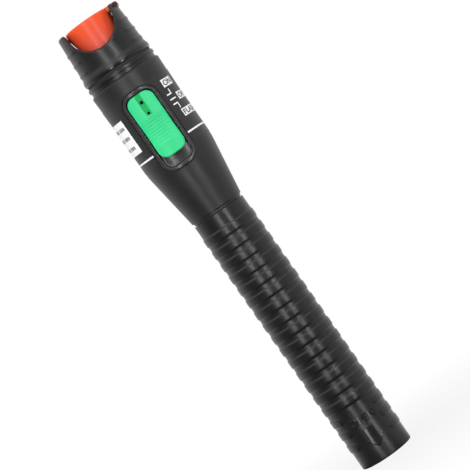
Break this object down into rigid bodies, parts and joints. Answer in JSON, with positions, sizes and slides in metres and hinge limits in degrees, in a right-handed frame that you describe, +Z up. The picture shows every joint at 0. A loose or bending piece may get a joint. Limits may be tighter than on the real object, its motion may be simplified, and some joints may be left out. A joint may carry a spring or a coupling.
{
  "type": "visual fault locator",
  "caption": "Pen-shaped red laser source for testing optical fibre: thumb slide switch, flip cap over the ferrule port, ribbed pull-off battery sleeve.",
  "frame": {"origin": "middle of the flat tail face, on the pen's axis", "axes": "+Z up the axis from the tail to the head, -Y faces the slide switch, +X points at the flip cap's hinge"},
  "size_m": [0.0262, 0.0264, 0.175],
  "materials": {
    "shell_black": "fine satin moulded ABS",
    "carrier_black": "plain moulded plastic",
    "bezel_gloss": "polished moulding",
    "cap_red": "tinted soft plastic",
    "slider_green": "tinted polished plastic",
    "rubber_black": "plain rubber",
    "film_black": "printed film",
    "label_white": "coated label",
    "nickel": "turned and nickel plated",
    "nut_black": "black anodised, turned",
    "brass": "turned brass",
    "steel": "bright steel",
    "board_green": "solder mask on glass laminate",
    "chip_black": "moulded epoxy",
    "capacitor_tan": "moulded epoxy",
    "ceramic_white": "ground zirconia",
    "optic_glass": "polished",
    "cell_wrap": "shrink wrap on a steel can"
  },
  "bodies": {
    "pen": {"crown": "shell_black", "cap_hinge_pin": "steel", "lock_ring": "shell_black", "neck_gasket": "rubber_black", "switch_housing": "shell_black", "legend_film": "film_black", "side_label": "label_white", "switch_bezel": "bezel_gloss", "slide_switch_case": "steel", "switch_pins": "steel", "driver_board": "board_green", "driver_chip": "chip_black", "supply_capacitor": "capacitor_tan", "chip_resistors": "chip_black", "board_screws": "steel", "laser_barrel": "brass", "laser_diode": "steel", "focus_lens": "optic_glass", "lens_retainer": "nut_black", "ferrule_adapter": "nickel", "port_sleeve": "ceramic_white", "adapter_nut": "nut_black", "battery_carrier": "carrier_black", "sleeve_ring": "rubber_black", "return_strip": "nickel", "positive_contact": "nickel", "tail_spring": "steel", "cell_rear": "cell_wrap", "cell_front": "cell_wrap"},
    "slider": {"slider_button": "slider_green", "switch_lever": "chip_black"},
    "cap": {"dust_cap": "cap_red"},
    "grip": {"grip_sleeve": "shell_black"}
  },
  "joints": [
    {"name": "switch_slide", "type": "slide", "parent": "pen", "child": "slider", "axis": [0, 0, -1], "range_m": [0, 0.0034]},
    {"name": "cap_flip", "type": "hinge", "parent": "pen", "child": "cap", "pos_m": [0.01115, 0, 0.174], "axis": [0, 1, 0], "range_deg": [0, 180]},
    {"name": "sleeve_pull", "type": "slide", "parent": "pen", "child": "grip", "axis": [0, 0, -1], "range_m": [0, 0.1]}
  ]
}
